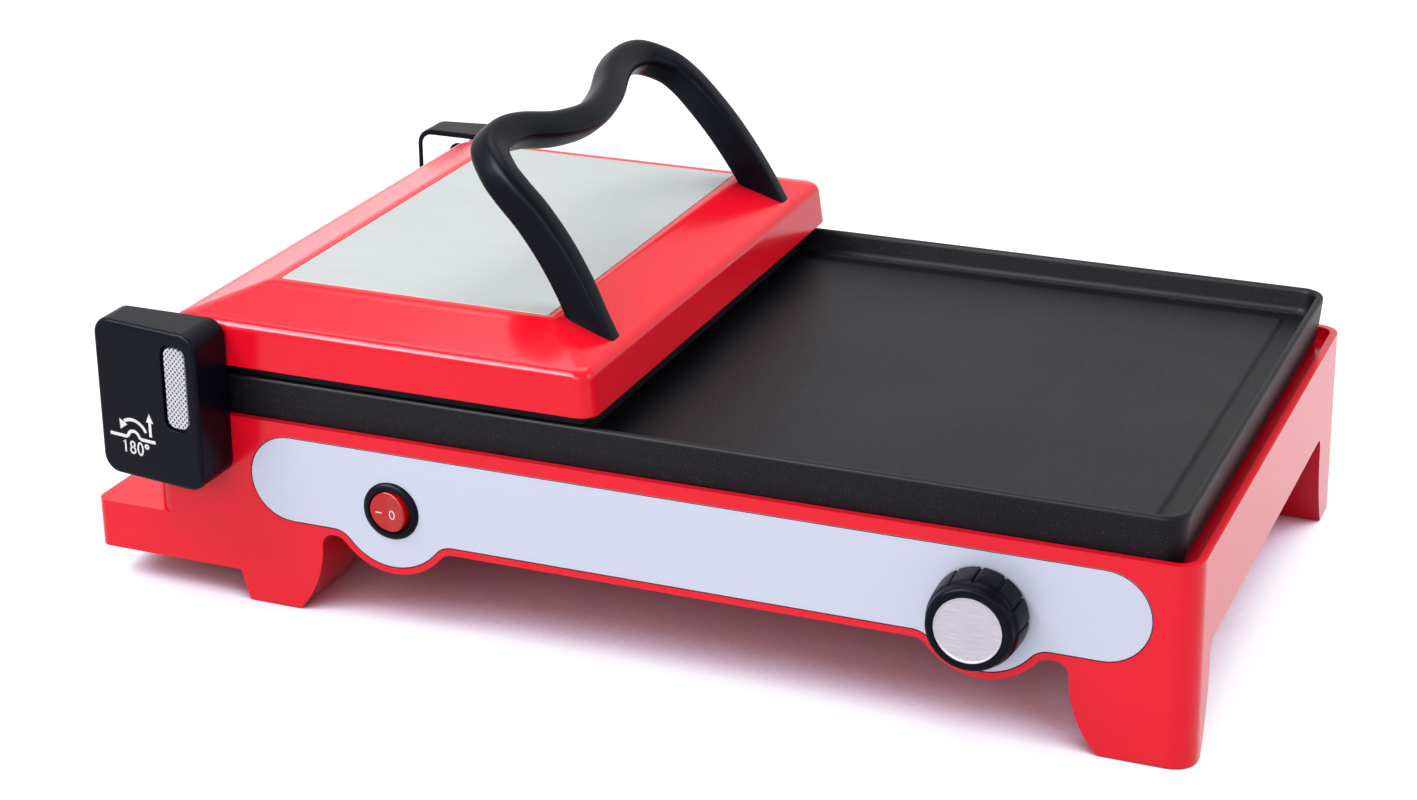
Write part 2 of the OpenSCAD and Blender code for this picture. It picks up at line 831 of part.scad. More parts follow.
module lower_heating_element() {
    color([0.42, 0.4, 0.38])
        translate([griddle_mid_x, 0, element_z])
            tube_grid(element_d, element_runs, element_pitch, element_l);
}

// Straps that hold the heating tube up against the griddle plate
module element_clips() {
    reach = element_pitch * (element_runs - 1) / 2 + element_d;
    low = element_z - element_d / 2 - fit_gap - sheet_t;
    color([0.7, 0.7, 0.72])
        for (i = [-1:1])
            translate([griddle_mid_x + i * element_l * 0.38, 0, 0]) {
                translate([-clip_w / 2, -reach, low])
                    cube([clip_w, 2 * reach, sheet_t]);
                for (s = [-1, 1])
                    translate([-clip_w / 2, s * reach - (s > 0 ? sheet_t : 0), low])
                        cube([clip_w, sheet_t, griddle_under - low]);
            }
}

// Sheet tray under the heating tube, hung from the ledge
module heat_reflector() {
    size = [ledge_hole[0] - 1, ledge_hole[1] - 1];
    inner = [size[0] - 2 * sheet_t, size[1] - 2 * sheet_t];
    color([0.75, 0.76, 0.78])
        translate([griddle_mid_x, 0, 0])
            difference() {
                union() {
                    slab(size, base_r - base_wall, reflector_z, ledge_z + sheet_t - reflector_z);
                    slab([size[0] + 5, size[1] + 5], base_r - base_wall, ledge_z, sheet_t);
                }
                slab(inner, base_r - base_wall, reflector_z + sheet_t, rim_h);
            }
}

module terminal_block() {
    color([0.9, 0.9, 0.86])
        translate([gland_x - 18, rear_y - 60, cover_z + cover_t])
            difference() {
                cube([36, 16, 13]);
                for (i = [0:2])
                    translate([6 + i * 12, 8, 5])
                        cylinder(d = 5, h = 10);
            }
}

// Gland in the rear wall
module cord_gland() {
    color([0.08, 0.08, 0.09])
        translate([gland_x, 0, gland_z])
            difference() {
                union() {
                    y_cylinder(gland_d, rear_y - base_wall - 4, rear_y);
                    y_cylinder(gland_flange_d, rear_y, rear_y + gland_flange_t);
                    y_cylinder(gland_flange_d, rear_y - base_wall - 4, rear_y - base_wall);
                }
                y_cylinder(gland_bore, rear_y - base_wall - 5, rear_y + gland_flange_t + 1);
            }
}

// Places children in the plane of the slanted outer face of the front hinge block
module on_block_face() {
    translate([block_right_x, front_y - block_out, 0])
        rotate(-block_tilt)
            children();
}

module block_body() {
    difference() {
        intersection() {
            front_extrude(front_y - block_out - 1, front_y)
                translate(block_mid)
                    round_rect([block_w, block_h], block_r);
            linear_extrude(block_top_z + 1)
                polygon([[block_x, front_y], [block_right_x, front_y], [block_right_x, front_y - block_out],
                    [block_x, front_y - block_out + block_slant]]);
        }
        translate([axis_x, 0, slot_mid_z])
            front_extrude(front_y - bush_len - guide_t, front_y + 1)
                obround(slot_w, slot_w + lid_lift);
        front_extrude(front_y - guide_t, front_y + 1)
            guide_outline(fit_gap);
        block_screw_holes(block_screw_d);
    }
}

module guide_outline(grow) {
    translate(block_mid)
        round_rect([block_w - 2 * guide_rim + 2 * grow, block_h - 2 * guide_rim + 2 * grow], block_r - guide_rim + grow);
}

function block_screw_spots() = [for (x = block_screw_x) [block_mid[0] + x, block_z + block_screw_z]];

module block_screw_holes(d) {
    for (p = block_screw_spots())
        translate([p[0], 0, p[1]])
            y_cylinder(d + 2 * thread_gap, front_y - 9, wall_in_y + 1);
}

module hinge_block_front() {
    color([0.09, 0.09, 0.1])
        difference() {
            block_body();
            on_block_face() {
                front_extrude(-1, lens_recess)
                    translate([-lens_in, lens_z])
                        obround(lens_w + 2 * lens_border, lens_h + 2 * lens_border);
                front_extrude(0, lens_t + fit_gap)
                    translate([-lens_in, lens_z])
                        obround(lens_w + 2 * fit_gap, lens_h + 2 * fit_gap);
            }
            on_block_face()
                translate([-lens_in, 0, lens_z])
                    y_cylinder(lamp_d + 2 * fit_gap, 0, lens_t + 9);
        }
}

module hinge_block_rear() {
    color([0.09, 0.09, 0.1])
        mirror([0, 1, 0])
            block_body();
}

// Steel plate in the block's inner face, with the slot that guides the lid
module guide_plate() {
    color([0.8, 0.8, 0.82])
        difference() {
            front_extrude(front_y - guide_t, front_y)
                guide_outline(0);
            translate([axis_x, 0, slot_mid_z])
                front_extrude(front_y - guide_t - 1, front_y + 1)
                    obround(slot_w, slot_w + lid_lift);
            block_screw_holes(block_screw_d);
        }
}

module guide_plate_front() {
    guide_plate();
}

module guide_plate_rear() {
    mirror([0, 1, 0])
        guide_plate();
}

// Screws from inside the base into the hinge blocks
module block_screws() {
    color([0.75, 0.75, 0.77])
        both_sides()
            for (p = block_screw_spots())
                translate([p[0], 0, p[1]]) {
                    y_cylinder(block_screw_d, front_y - 8, wall_in_y);
                    y_cylinder(screw_head_d + 1, wall_in_y, wall_in_y + screw_head_t);
                }
}

module indicator_lens() {
    color([0.85, 0.87, 0.88, 0.7])
        on_block_face()
            front_extrude(lens_recess / 2, lens_t)
                translate([-lens_in, lens_z])
                    obround(lens_w, lens_h);
}

module indicator_lamp() {
    color([0.95, 0.5, 0.3])
        on_block_face()
            translate([-lens_in, 0, lens_z])
                y_cylinder(lamp_d, lens_t + fit_gap, lens_t + 8);
}

module hinge_bush() {
    color([0.85, 0.85, 0.8])
        translate([axis_x, 0, axis_z])
            difference() {
                y_cylinder(bush_d, front_y - bush_len, front_y - 0.2);
                y_cylinder(pin_d + 2 * run_gap, front_y - bush_len - 1, front_y + 1);
            }
}

module hinge_bush_front() {
    hinge_bush();
}

module hinge_bush_rear() {
    mirror([0, 1, 0])
        hinge_bush();
}

module hinge_pin() {
    color([0.72, 0.72, 0.74])
        translate([axis_x, 0, axis_z])
            y_cylinder(pin_d, front_y - bush_len + 0.5, front_y + post_len - 1);
}

module hinge_pin_front() {
    hinge_pin();
}

module hinge_pin_rear() {
    mirror([0, 1, 0])
        hinge_pin();
}

// Convex outline of the lid, drawn in by gap on every side
module lid_form(gap) {
    translate([lid_mid_x, 0, 0])
        hull() {
            lid_slice(gap, 0, 0);
            lid_slice(gap, 0.86, lid_side_h - 2.4);
            lid_slice(gap, 1.04, lid_side_h - 0.55);
            lid_slice(gap, 1.4, lid_side_h + 0.72);
            translate([inlay_x - lid_mid_x, 0, 0])
                slab([inlay_l + 2 * inlay_margin, inlay_d + 2 * inlay_margin], inlay_margin + 1,
                    lid_top_z - gap - eps, eps);
        }
}

// Outline of the lid at one height, leaning in by a share of the draft
module lid_slice(gap, lean, up) {
    inset = [gap + lean * lid_draft, gap + lean * lid_draft_y];
    left_in = lean * lid_left_lean;
    translate([left_in / 2, 0, 0])
        slab([lid_l - 2 * inset[0] - left_in, lid_d - 2 * inset[1]], lid_r - gap,
            max(lid_z + up - gap, lid_z - gap / 3), eps);
}

// Solid corners that the hinge pins are pressed into
module pin_posts() {
    for (s = [-1, 1])
        translate([lid_left_x, s > 0 ? rear_y - post_len : front_y, lid_z - 1])
            cube([post_in, post_len, post_h + 1]);
}

// Red lid moulding
module lid_shell() {
    color([0.9, 0.08, 0.13])
        difference() {
            lid_form(0);
            difference() {
                lid_form(lid_wall);
                pin_posts();
            }
            translate([inlay_x, 0, 0])
                slab([inlay_l + 2 * fit_gap, inlay_d + 2 * fit_gap], 1 + fit_gap, lid_top_z - inlay_t, inlay_t + 1);
            both_sides() {
                translate([axis_x, 0, axis_z])
                    y_cylinder(pin_d + 2 * run_gap, front_y - 1, front_y + post_len);
                translate([handle_foot_x, -handle_span / 2, lid_shoulder_z - 8])
                    cylinder(d = tenon_d + 2 * fit_gap, h = 20);
            }
        }
}

module lid_inlay_plate() {
    color([0.8, 0.82, 0.8])
        translate([inlay_x, 0, 0])
            slab([inlay_l, inlay_d], 1, lid_top_z - inlay_t, inlay_t);
}

// Black frame under the lid's edge, with the opening that the press plate sits in
module lid_frame() {
    color([0.13, 0.13, 0.14])
        difference() {
            translate([lid_mid_x, 0, 0])
                slab([lid_l - 2 * flange_inset, lid_d - 2 * flange_inset], lid_r - flange_inset, flange_z,
                    flange_t - seat_gap);
            translate([press_mid_x, 0, 0])
                slab([press_l + 2 * fit_gap, press_d + 2 * fit_gap], press_r + fit_gap, flange_z - 1, flange_t + 2);
        }
}

// Cast plate that reaches from the lid's frame down into the griddle, with ribs along its underside
module press_plate() {
    rib_top = press_z + rib_h;
    ribs = floor((press_l - rib_pitch / 2) / rib_pitch);
    color([0.13, 0.13, 0.14])
        translate([press_mid_x, 0, 0]) {
            slab([press_l, press_d], press_r, rib_top, lid_z - seat_gap - rib_top);
            for (i = [0:ribs - 1])
                translate([(i - (ribs - 1) / 2) * rib_pitch, 0, 0])
                    front_extrude(4 - press_d / 2, press_d / 2 - 4)
                        polygon([[-2.6, rib_top + 0.5], [-1.4, press_z], [1.4, press_z], [2.6, rib_top + 0.5]]);
        }
}

module upper_heating_element() {
    color([0.42, 0.4, 0.38])
        translate([lid_mid_x + hood_x, 0, lid_z + fit_gap + upper_element_d / 2])
            rotate(90)
                tube_grid(upper_element_d, upper_runs, upper_pitch,
                    hood_size[1] - 2 * (sheet_t + upper_element_gap) - upper_pitch - upper_element_d);
}

// Sheet hood over the upper heating tube
module upper_reflector() {
    inner = [hood_size[0] - 2 * sheet_t, hood_size[1] - 2 * sheet_t];
    color([0.75, 0.76, 0.78])
        translate([lid_mid_x + hood_x, 0, 0])
            difference() {
                slab(hood_size, 8, lid_z, hood_h);
                slab(inner, 8 - sheet_t, lid_z - 1, hood_h + 1 - sheet_t);
            }
}

// Middle line of the handle in its own plane: distance from the centre, distance up the leg, rise off the plane
function handle_knots() = let (half = handle_span / 2, up = handle_len) [
    [half, -14, 0], [half, 0, 0], [half - 1.8, up * 0.19, 2.8], [half - 3.3, up * 0.385, 4.2],
    [half - 4.4, up * 0.577, 4.3], [half - 5, up * 0.73, 3.5], [half - 8, up * 0.85, 2.4],
    [half - 17, up * 0.967, 0.6], [half - 29.6, up, 0.1], [half - 43.4, up * 0.982, 0.3],
    [half - 63.7, up - handle_dip * 0.7, 1.6], [0, up - handle_dip, 2.4]];

function mirror_knots(k) = [for (i = [0:2 * len(k) - 2])
    i < len(k) ? k[i] : [-k[2 * len(k) - 2 - i][0], k[2 * len(k) - 2 - i][1], k[2 * len(k) - 2 - i][2]]];

// Smooth curve through four neighbouring knots
function smooth(a, b, c, d, t) = 0.5 * (2 * b + (c - a) * t + (2 * a - 5 * b + 4 * c - d) * t * t
    + (3 * b - 3 * c + d - a) * t * t * t);

function handle_line() = let (k = mirror_knots(handle_knots()), n = len(k)) [
    for (i = [0:n - 2], j = [0:handle_steps - 1])
        smooth(k[max(i - 1, 0)], k[i], k[i + 1], k[min(i + 2, n - 1)], j / handle_steps), k[n - 1]];

// One outline of the handle: a rounded bar, broad and thin at the feet, nearly round at the grip
function handle_ring(p, ahead, behind) =
    let (dir = ahead - behind, side = [-dir[1], dir[0]] / norm([dir[0], dir[1]]),
        share = min(1, max(0, p[1] / handle_len)), wide = leg_w + (grip_t - leg_w) * share,
        thick = leg_t + (grip_t - leg_t) * share)
    [for (a = [0:handle_sides - 1])
        let (c = cos(360 * a / handle_sides), s = sin(360 * a / handle_sides),
            u = sign(c) * pow(abs(c), 0.65) * thick / 2, v = sign(s) * pow(abs(s), 0.65) * wide / 2)
        [p[2] + v, p[0] + side[0] * u, p[1] + side[1] * u]];

// Sweep of the outlines along the middle line, closed at both ends
module handle_bar() {
    line = handle_line();
    n = len(line);
    m = handle_sides;
    points = [for (i = [0:n - 1]) each handle_ring(line[i], line[min(i + 1, n - 1)], line[max(i - 1, 0)])];
    walls = [for (i = [0:n - 2], j = [0:m - 1]) each [
        [i * m + j, (i + 1) * m + j, i * m + (j + 1) % m],
        [i * m + (j + 1) % m, (i + 1) * m + j, (i + 1) * m + (j + 1) % m]]];
    ends = [[for (j = [0:m - 1]) j], [for (j = [m - 1:-1:0]) (n - 1) * m + j]];
    polyhedron(points, concat(walls, ends), convexity = 6);
}

// Handle with feet cut to the slope of the lid and a tenon under each foot
module lid_handle() {
    color([0.08, 0.08, 0.09])
        difference() {
            union() {
                difference() {
                    translate([handle_foot_x, 0, handle_foot_z])
                        rotate([0, -handle_angle, 0])
                            handle_bar();
                    translate([handle_foot_x, -base_d / 2, handle_foot_z])
                        rotate([0, bevel_angle, 0])
                            translate([-base_d / 4, 0, -base_d])
                                cube([base_d / 2, base_d, base_d]);
                }
                for (s = [-1, 1])
                    translate([handle_foot_x, s * handle_span / 2, handle_foot_z - tenon_l])
                        cylinder(d = tenon_d, h = tenon_l + 4);
            }
            for (s = [-1, 1])
                translate([handle_foot_x, s * handle_span / 2, handle_foot_z - tenon_l - 1])
                    cylinder(d = screw_d + 2 * thread_gap, h = tenon_l + 3);
        }
}

// Screws from inside the lid, up into the handle's tenons
module handle_screws() {
    head_z = handle_foot_z - tenon_l;
    color([0.75, 0.75, 0.77])
        for (s = [-1, 1])
            translate([handle_foot_x, s * handle_span / 2, 0]) {
                translate([0, 0, head_z - screw_head_t])
                    cylinder(d = washer_d, h = screw_head_t);
                translate([0, 0, head_z - 0.5])
                    cylinder(d = screw_d, h = tenon_l + 1.5);
            }
}

base_shell();
bottom_cover();
rubber_feet();
control_panel();
switch_housing();
switch_rocker();
thermostat();
thermostat_shaft();
knob_body();
knob_cap();
griddle_plate();
lower_heating_element();
element_clips();
heat_reflector();
terminal_block();
cord_gland();
cover_screws();
hinge_block_front();
hinge_block_rear();
guide_plate_front();
guide_plate_rear();
block_screws();
indicator_lens();
indicator_lamp();
hinge_bush_front();
hinge_bush_rear();
hinge_pin_front();
hinge_pin_rear();
lid_shell();
lid_inlay_plate();
lid_frame();
press_plate();
upper_heating_element();
upper_reflector();
lid_handle();
handle_screws();
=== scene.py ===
import json
import math

import bmesh
import bpy
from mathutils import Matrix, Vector


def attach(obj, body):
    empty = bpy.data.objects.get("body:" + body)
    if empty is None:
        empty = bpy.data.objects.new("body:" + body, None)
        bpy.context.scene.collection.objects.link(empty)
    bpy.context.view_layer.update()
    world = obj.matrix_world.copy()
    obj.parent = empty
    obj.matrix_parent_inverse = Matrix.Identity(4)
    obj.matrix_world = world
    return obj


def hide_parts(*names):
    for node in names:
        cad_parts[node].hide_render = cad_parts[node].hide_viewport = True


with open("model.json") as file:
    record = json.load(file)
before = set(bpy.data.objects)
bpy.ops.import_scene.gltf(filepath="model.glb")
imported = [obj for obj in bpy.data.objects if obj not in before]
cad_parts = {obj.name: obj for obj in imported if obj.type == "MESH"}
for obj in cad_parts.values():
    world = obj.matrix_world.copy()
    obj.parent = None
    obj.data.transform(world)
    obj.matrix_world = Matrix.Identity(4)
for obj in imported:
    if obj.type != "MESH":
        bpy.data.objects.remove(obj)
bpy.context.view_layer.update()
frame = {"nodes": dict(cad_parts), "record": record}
nodes = frame["nodes"]
MM = 0.001
DX = 1.7  # X below is counted from a line this far right of the frame's origin
SIDE = 125.0  # half the housing's depth, and so where its front lies
WELD = 2e-6  # points closer than this are one, in metres
COPLANAR = 0.6  # faces that differ by less are one, in degrees
CREASE = 38  # edges of the scene's own meshes that are sharper stay hard, in degrees
ROUNDED = 32  # edges of a solid's copy that are sharper are rounded, in degrees
# width of the painted gap shadow round the front panel's face
GAP_SHADOW_W = 0.35
PRINT_LIFT = 0.05  # how far the marks stand off the block's face

# ---------------------------------------------------------------- mesh helpers (millimetres)


def new_object(name, data):
    ob = bpy.data.objects.new(name, data)
    bpy.context.scene.collection.objects.link(ob)
    return ob


def fill_mesh(me, bm, sharp):
    """Moves bm into me and shades it smooth, but for edges sharper than this many degrees."""
    bm.to_mesh(me)
    bm.free()
    me.shade_smooth()
    me.set_sharp_from_angle(angle=math.radians(sharp))


def even_normals(ob):
    mod = ob.modifiers.new("even_normals", "WEIGHTED_NORMAL")
    mod.keep_sharp = True


def piece(name, verts, faces, body, slot, material, replaces=(), weighted=True, cut=None):
    """A mesh of the scene's own; cut is a point and a normal, and what lies behind that plane goes."""
    me = bpy.data.meshes.new(name)
    me.from_pydata([((x + DX) * MM, y * MM, z * MM) for x, y, z in verts], [], faces)
    bm = bmesh.new()
    bm.from_mesh(me)
    bmesh.ops.remove_doubles(bm, verts=bm.verts, dist=WELD)
    if cut:
        at, normal = cut
        got = bmesh.ops.bisect_plane(
            bm, geom=bm.verts[:] + bm.edges[:] + bm.faces[:], clear_inner=True,
            plane_co=((at[0] + DX) * MM, at[1] * MM, at[2] * MM), plane_no=normal)
        rim = [e for e in got["geom_cut"] if isinstance(e, bmesh.types.BMEdge)]
        bmesh.ops.contextual_create(bm, geom=rim)
    bmesh.ops.recalc_face_normals(bm, faces=bm.faces)
    fill_mesh(me, bm, CREASE)
    ob = new_object(name, me)
    me.materials.append(material)
    if weighted:
        even_normals(ob)
    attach(ob, body)
    if replaces:
        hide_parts(*replaces)


def softened(name, node, body, material, width, segments=3, gap_shadow=None):
    """A copy of a solid whose hard edges are rounded as a moulding's are; a second material, where given, is painted
    as a thin ring round its front's outline, a painted shadow of the gap round it.
    """
    me = nodes[node].data.copy()
    me.name = name
    me.materials.clear()
    for mat in (material, gap_shadow) if gap_shadow else (material,):
        me.materials.append(mat)
    bm = bmesh.new()
    bm.from_mesh(me)
    bmesh.ops.remove_doubles(bm, verts=bm.verts, dist=WELD)
    bmesh.ops.dissolve_limit(bm, angle_limit=math.radians(COPLANAR), verts=bm.verts, edges=bm.edges)
    # a thin ring round the front face takes the dark material: a painted shadow of the gap round the panel
    if gap_shadow:
        front = min(v.co.y for v in bm.verts)
        flat = [f for f in bm.faces if f.normal.y < -0.99 and f.calc_center_median().y < front + 1e-5]
        for rim in bmesh.ops.inset_region(bm, faces=flat, thickness=GAP_SHADOW_W * MM)["faces"]:
            rim.material_index = 1
    fill_mesh(me, bm, 180)
    ob = new_object(name, me)
    mod = ob.modifiers.new("soft_edges", "BEVEL")
    mod.width = width * MM
    mod.segments = segments
    mod.limit_method = "ANGLE"
    mod.angle_limit = math.radians(ROUNDED)
    mod.use_clamp_overlap = True
    mod.harden_normals = False
    even_normals(ob)
    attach(ob, body)
    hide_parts(node)


def rring(x0, x1, y0, y1, r, z, n=8):
    """Rounded rectangle at height z, counter-clockwise seen from above, with n steps round each corner."""
    out = []
    for cx, cy, a0 in ((x1 - r, y1 - r, 0), (x0 + r, y1 - r, 90),
                       (x0 + r, y0 + r, 180), (x1 - r, y0 + r, 270)):
        for i in range(n + 1):
            a = math.radians(a0 + 90 * i / n)
            out.append((cx + r * math.cos(a), cy + r * math.sin(a), z))
    return out


def loft(rings, first=True, last=True):
    """Points and faces of the skin over rings of equal length; first and last close its ends."""
    n = len(rings[0])
    verts = [p for ring in rings for p in ring]
    faces = []
    for i in range(len(rings) - 1):
        for j in range(n):
            k = (j + 1) % n
            faces.append((i * n + j, i * n + k, (i + 1) * n + k, (i + 1) * n + j))
    if first:
        faces.append(tuple(reversed(range(n))))
    if last:
        faces.append(tuple((len(rings) - 1) * n + j for j in range(n)))
    return verts, faces


def bezier(a, b, c, n):
    """n + 1 points from a to c, drawn towards b."""
    return [tuple((1 - t) ** 2 * p + 2 * t * (1 - t) * q + t * t * s for p, q, s in zip(a, b, c))
            for t in [i / n for i in range(n + 1)]]


def round_y(profile, cx, cz, n=96, shape=None):
    """Rings about the line through (cx, cz) along Y from pairs of radius and y; shape says what to take off."""
    rings = []
    for r, y in profile:
        ring = []
        for i in range(n):
            a = 2 * math.pi * i / n
            q = r - (shape(a, r, y) if shape else 0)
            ring.append((cx + q * math.cos(a), y, cz + q * math.sin(a)))
        rings.append(ring)
    return rings


def spline(a, b, c, d, t):
    """The point at share t between b and c of a smooth curve through all four."""
    return tuple(0.5 * (2 * q + (r - p) * t + (2 * p - 5 * q + 4 * r - s) * t * t
                        + (3 * q - 3 * r + s - p) * t ** 3)
                 for p, q, r, s in zip(a, b, c, d))


# ---------------------------------------------------------------- materials


def lin(c):
    """The linear colour of a display colour."""
    return tuple(v / 12.92 if v <= 0.04045 else ((v + 0.055) / 1.055) ** 2.4 for v in c) + (1.0,)


class Mat:
    """A Principled material with helpers for its procedural detail."""

    def __init__(self, name, color, rough, **inputs):
        self.m = bpy.data.materials.new(name)
        self.m.use_nodes = True
        self.t = self.m.node_tree
        self.b = self.t.nodes["Principled BSDF"]
        self.set("Base Color", lin(color))
        self.set("Roughness", rough)
        for k, v in inputs.items():
            self.set(k.replace("_", " "), v)
        self.coord = self.t.nodes.new("ShaderNodeTexCoord")
        self.height = None

    def set(self, name, value):
        self.b.inputs[name].default_value = value

    def node(self, kind, **props):
        n = self.t.nodes.new(kind)
        for k, v in props.items():
            if k.startswith("i_"):
                n.inputs[k[2:].replace("_", " ")].default_value = v
            else:
                setattr(n, k, v)
        return n

    def link(self, a, b):
        self.t.links.new(a, b)

    def mapped(self, scale):
        m = self.node("ShaderNodeMapping")
        m.inputs["Scale"].default_value = scale
        self.link(self.coord.outputs["Object"], m.inputs["Vector"])
        return m.outputs["Vector"]

    def noise(self, scale, detail=4, rough=0.55, stretch=(1, 1, 1)):
        n = self.node("ShaderNodeTexNoise")
        n.inputs["Scale"].default_value = scale
        n.inputs["Detail"].default_value = detail
        n.inputs["Roughness"].default_value = rough
        self.link(self.mapped(stretch), n.inputs["Vector"])
        return n.outputs["Fac"]

    def ramp(self, fac, stops):
        r = self.node("ShaderNodeValToRGB")
        e = r.color_ramp.elements
        while len(e) < len(stops):
            e.new(0.5)
        for el, (pos, col) in zip(e, stops):
            el.position = pos
            el.color = col if isinstance(col, tuple) else (col, col, col, 1)
        self.link(fac, r.inputs["Fac"])
        return r.outputs["Color"]

    def vary_rough(self, fac, low, high, a=0.35, b=0.65):
        self.link(self.ramp(fac, [(a, low), (b, high)]), self.b.inputs["Roughness"])

    def vary_color(self, fac, c0, c1, a=0.35, b=0.65):
        self.link(self.ramp(fac, [(a, lin(c0)), (b, lin(c1))]), self.b.inputs["Base Color"])

    def bump(self, fac, strength, distance):
        n = self.node("ShaderNodeBump")
        n.inputs["Strength"].default_value = strength
        n.inputs["Distance"].default_value = distance * MM
        self.link(fac, n.inputs["Height"])
        if self.height is not None:
            self.link(self.height, n.inputs["Normal"])
        self.height = n.outputs["Normal"]
        self.link(self.height, self.b.inputs["Normal"])


MATS = {}

m = Mat("red_gloss", (0.93, 0.04, 0.14), 0.2, Specular_IOR_Level=0.17, Specular_Tint=(1, 0.84, 0.97, 1),
        Coat_Weight=0.22, Coat_Roughness=0.12)
m.vary_color(m.noise(9, 1), (0.925, 0.035, 0.135), (0.935, 0.045, 0.15))
MATS["red_plastic"] = m.m

m = Mat("black_satin", (0.02, 0.026, 0.06), 0.34, Specular_IOR_Level=0.085,
        Specular_Tint=(0.78, 0.84, 1, 1))
m.vary_color(m.noise(25, 3), (0.016, 0.022, 0.055), (0.024, 0.03, 0.065))
m.vary_rough(m.noise(40, 2), 0.31, 0.36)
m.bump(m.noise(2600, 3), 0.18, 0.03)
MATS["black_plastic"] = m.m

m = Mat("pan_paint", (0.16, 0.16, 0.17), 0.5)
m.vary_color(m.noise(12, 3), (0.14, 0.14, 0.15), (0.19, 0.19, 0.2))
m.bump(m.noise(1800, 3), 0.2, 0.04)
MATS["pan_sheet"] = m.m

m = Mat("pad_rubber", (0.11, 0.11, 0.11), 0.75, Specular_IOR_Level=0.3)
m.vary_color(m.noise(200, 4), (0.09, 0.09, 0.09), (0.14, 0.14, 0.14))
m.bump(m.noise(1500, 4), 0.3, 0.05)
MATS["pad_rubber"] = m.m

m = Mat("panel_silver", (0.79, 0.815, 0.885), 0.36, Metallic=0.15, Specular_IOR_Level=0.2)
m.vary_color(m.noise(4200, 2, 0.6), (0.75, 0.775, 0.845), (0.83, 0.855, 0.925), 0.3, 0.7)
m.vary_rough(m.noise(700, 3), 0.32, 0.42)
m.bump(m.noise(5200, 2), 0.12, 0.02)
MATS["silver_panel"] = m.m

m = Mat("rocker_red", (0.74, 0.05, 0.06), 0.2, Specular_IOR_Level=0.2, Coat_Weight=0.25,
        Coat_Roughness=0.05)
m.vary_color(m.noise(300, 2), (0.72, 0.04, 0.05), (0.77, 0.06, 0.07))
m.bump(m.noise(900, 2), 0.05, 0.02)
MATS["rocker_red"] = m.m

m = Mat("ceramic", (0.85, 0.83, 0.77), 0.6)
m.vary_color(m.noise(150, 4), (0.82, 0.80, 0.73), (0.88, 0.86, 0.80))
m.bump(m.noise(900, 4), 0.3, 0.06)
MATS["ceramic"] = m.m


def metal(name, c0, c1, rough, stretch, scale, bump=0.08, aniso=0.0):
    """Metal whose colour varies from c0 to c1 with a noise, which stretch can squeeze into brush lines."""
    q = Mat(name, c0, rough, Metallic=1.0, Anisotropic=aniso)
    lines = q.noise(scale, 3, 0.6, stretch)
    q.vary_color(lines, c0, c1, 0.3, 0.7)
    q.vary_rough(lines, rough * 0.85, rough * 1.2)
    q.bump(lines, bump, 0.02)
    return q.m


for slot, *look in (
        ("steel", (0.70, 0.70, 0.72), (0.78, 0.78, 0.80), 0.28, (1, 1, 8), 400),
        ("cap_steel", (0.62, 0.61, 0.64), (0.72, 0.71, 0.74), 0.34, (1, 1, 26), 120, 0.12, 0.4),
        ("element_metal", (0.40, 0.37, 0.34), (0.52, 0.46, 0.40), 0.45, (1, 1, 1), 60),
        ("bright_sheet", (0.86, 0.865, 0.88), (0.92, 0.92, 0.93), 0.16, (1, 1, 6), 200, 0.05)):
    MATS[slot] = metal(slot, *look)

m = Mat("lid_plate", (0.73, 0.75, 0.75), 0.4, Metallic=0.15, Specular_IOR_Level=0.2)
m.vary_color(m.noise(26, 4, 0.6, (1, 12, 1)), (0.722, 0.742, 0.74), (0.738, 0.758, 0.758), 0.3, 0.7)
m.vary_rough(m.noise(6, 1), 0.38, 0.42)
m.bump(m.noise(2400, 3), 0.08, 0.02)
MATS["lid_plate"] = m.m

m = Mat("plate_coating", (0.022, 0.022, 0.04), 0.46, Specular_IOR_Level=0.15,
        Specular_Tint=(0.94, 0.94, 1, 1))
flecks = m.ramp(m.noise(2600, 1, 0.4), [(0.55, lin((0.022, 0.022, 0.042))), (0.68, lin((0.05, 0.05, 0.07))),
                                        (0.74, lin((0.24, 0.24, 0.27)))])
m.link(flecks, m.b.inputs["Base Color"])
m.vary_rough(m.noise(14, 2), 0.44, 0.48)
m.bump(m.noise(1600, 4), 0.2, 0.04)
MATS["plate_coating"] = m.m

m = Mat("clear_lens", (0.80, 0.81, 0.83), 0.16, Transmission_Weight=0.1, IOR=1.49, Coat_Weight=0.4)
ridges_and_painted_glint = m.node("ShaderNodeMath", operation="MAXIMUM")  # two sets of ridges that cross
for i, turn in enumerate((42, -42)):
    grid = m.node("ShaderNodeTexWave", i_Scale=215, i_Distortion=0.3, i_Detail=0)
    turned = m.node("ShaderNodeMapping")
    turned.inputs["Rotation"].default_value = (0, math.radians(turn), 0)
    m.link(m.coord.outputs["Object"], turned.inputs["Vector"])
    m.link(turned.outputs["Vector"], grid.inputs["Vector"])
    m.link(grid.outputs["Fac"], ridges_and_painted_glint.inputs[i])
# the colour across each ridge runs from dark to bright: painted shade and glint of light on the clear knurl, while
# the bump gives its real relief
m.vary_color(ridges_and_painted_glint.outputs[0], (0.30, 0.31, 0.34), (0.90, 0.91, 0.93), 0.5, 0.9)
m.bump(ridges_and_painted_glint.outputs[0], 0.5, 0.2)
MATS["clear_lens"] = m.m

m = Mat("lamp", (0.95, 0.62, 0.42), 0.1, Transmission_Weight=0.6, IOR=1.5)
m.vary_color(m.noise(200, 2), (0.93, 0.58, 0.38), (0.97, 0.70, 0.52))
MATS["lamp"] = m.m

